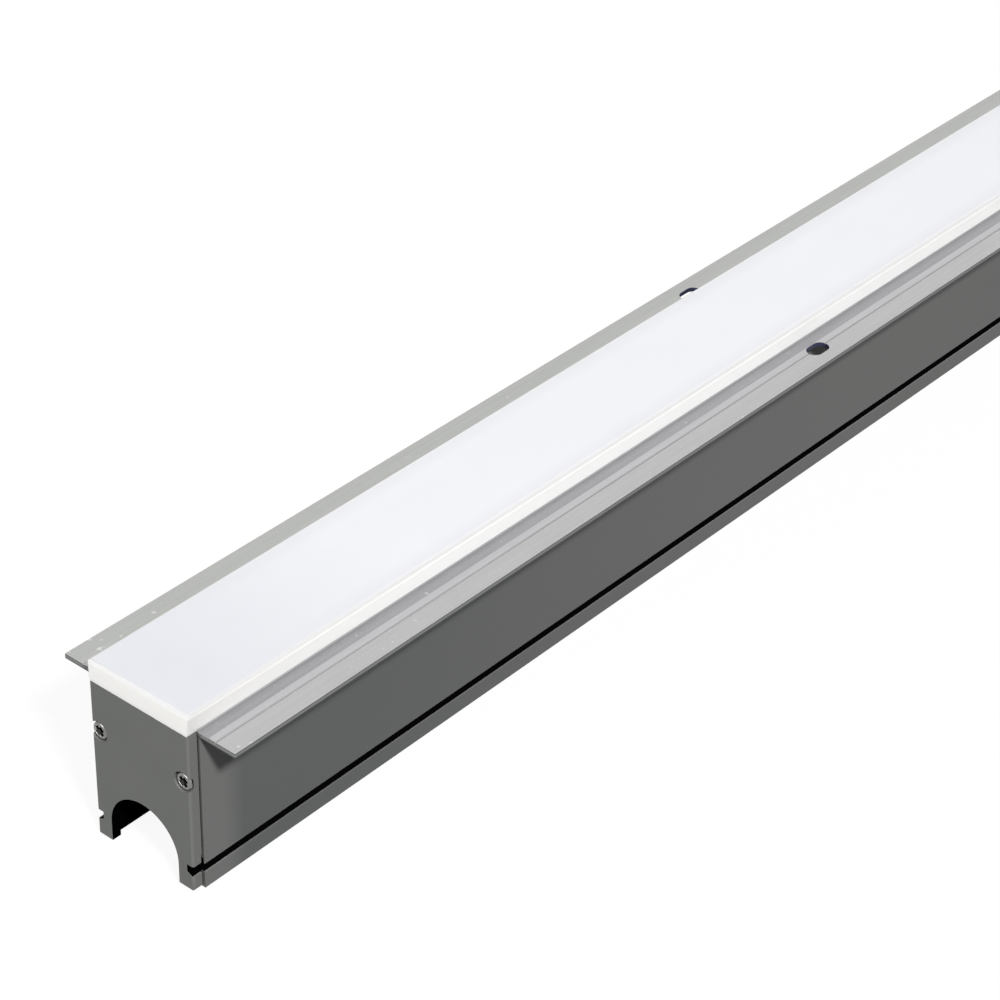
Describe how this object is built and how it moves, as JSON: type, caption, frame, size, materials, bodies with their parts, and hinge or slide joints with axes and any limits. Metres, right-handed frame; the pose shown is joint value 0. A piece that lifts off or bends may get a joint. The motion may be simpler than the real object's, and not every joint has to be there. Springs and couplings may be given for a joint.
{
  "type": "recessed linear wall washer light",
  "caption": "Recessed linear wall washer: flanged aluminium profile, opal cover over the light chamber, screwed end caps and an open cable channel.",
  "frame": {"origin": "on the plane that the feet of the housing stand on, under the middle of the housing's length and width", "axes": "+X along the light towards its right end, +Y across it towards the far flange, +Z from the feet to the lit cover"},
  "size_m": [1, 0.0594, 0.056],
  "materials": {
    "anodised_housing": "satin grey anodised, paler on the flange",
    "opal_cover": "opal polycarbonate, soft satin gloss",
    "pale_silicone": "matt pale grey silicone",
    "coated_cap": "fine satin powder coat, dark grey",
    "black_rubber": "matt",
    "stainless_steel": "turned and polished",
    "white_board": "white solder mask on an aluminium core",
    "thermal_pad": "matt filled silicone",
    "led_package": "white package with yellow phosphor",
    "black_moulding": "moulded epoxy",
    "resistor_body": "glazed ceramic chip",
    "white_nylon": "moulded",
    "wire_sleeve": "extruded insulation",
    "black_nylon": "moulded, fine grain"
  },
  "bodies": {
    "root": {"housing_profile": "anodised_housing", "diffuser_cover": "opal_cover", "cover_seal_near": "pale_silicone", "cover_seal_far": "pale_silicone", "end_cap_left": "coated_cap", "end_cap_right": "coated_cap", "end_gasket_left": "black_rubber", "end_gasket_right": "black_rubber", "end_screws_left": "stainless_steel", "end_screws_right": "stainless_steel", "led_board_left": "white_board", "led_board_right": "white_board", "thermal_pads_left": "thermal_pad", "thermal_pads_right": "thermal_pad", "led_packages_left": "led_package", "led_packages_right": "led_package", "current_regulators": "black_moulding", "series_resistors": "resistor_body", "board_screws": "stainless_steel", "board_connectors": "white_nylon", "link_wires": "wire_sleeve", "gland_body_left": "black_nylon", "gland_body_right": "black_nylon", "gland_dome_nut_left": "black_nylon", "gland_dome_nut_right": "black_nylon", "gland_seal_left": "black_rubber", "gland_seal_right": "black_rubber", "gland_lock_nut_left": "black_nylon", "gland_lock_nut_right": "black_nylon", "gland_ring_seals": "black_rubber", "vent_plug": "black_nylon", "vent_ring_seal": "black_rubber"}
  },
  "joints": []
}
